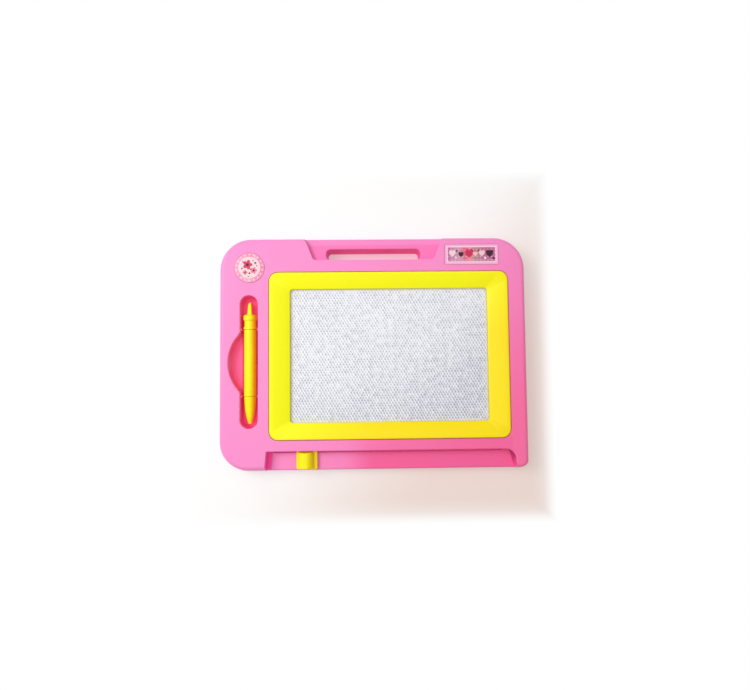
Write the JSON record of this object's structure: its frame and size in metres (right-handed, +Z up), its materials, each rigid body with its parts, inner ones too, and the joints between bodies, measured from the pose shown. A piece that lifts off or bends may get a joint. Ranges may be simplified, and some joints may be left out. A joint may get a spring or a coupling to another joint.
{
  "type": "magnetic drawing board",
  "caption": "Two-shell toy drawing board with a framed honeycomb screen, a sliding eraser bar, a carry handle and a lift-out pen",
  "frame": {"origin": "on the ground under the middle of the board, which lies on its back", "axes": "+X along the length, towards the label side; +Y from the eraser channel to the handle; +Z up out of the screen"},
  "size_m": [0.28, 0.21, 0.022],
  "materials": {
    "pink_plastic": "moulded pink plastic, satin gloss",
    "yellow_plastic": "moulded yellow plastic, satin gloss",
    "white_film": "white plastic sheet",
    "honeycomb": "white fluid in a fine honeycomb sheet",
    "clear_film": "clear plastic sheet over the honeycomb",
    "tape": "double-sided tape",
    "badge_sticker": "printed domed sticker",
    "label_sticker": "printed paper label",
    "steel": "zinc plated steel",
    "white_nylon": "natural white plastic",
    "magnet_rubber": "flexible magnet, matt",
    "felt": "grey felt",
    "pen_plastic": "moulded yellow plastic, glossy"
  },
  "bodies": {
    "board": {"front_housing": "pink_plastic", "rear_cover": "pink_plastic", "screen_bezel": "yellow_plastic", "screen_back_film": "white_film", "honeycomb_core": "honeycomb", "screen_edge_seal": "white_film", "screen_front_film": "clear_film", "panel_tape": "tape", "corner_badge": "badge_sticker", "picture_label": "label_sticker", "housing_screw_1": "steel", "housing_screw_2": "steel", "housing_screw_3": "steel", "housing_screw_4": "steel", "housing_screw_5": "steel", "housing_screw_6": "steel", "housing_screw_7": "steel", "housing_screw_8": "steel"},
    "eraser": {"eraser_knob": "yellow_plastic", "eraser_carrier": "white_nylon", "eraser_magnet_strip": "magnet_rubber", "front_glide_pad": "felt", "back_glide_pad": "felt"},
    "pen": {"pen_nose": "pen_plastic", "pen_magnet": "steel", "pen_barrel": "pen_plastic", "pen_end_plug": "pen_plastic"}
  },
  "joints": [
    {"name": "eraser_slide", "type": "slide", "parent": "board", "child": "eraser", "axis": [1, 0, 0], "range_m": [-0.025, 0.171]},
    {"name": "pen_lift", "type": "slide", "parent": "board", "child": "pen", "axis": [0, 0, 1], "range_m": [0, 0.06]}
  ]
}
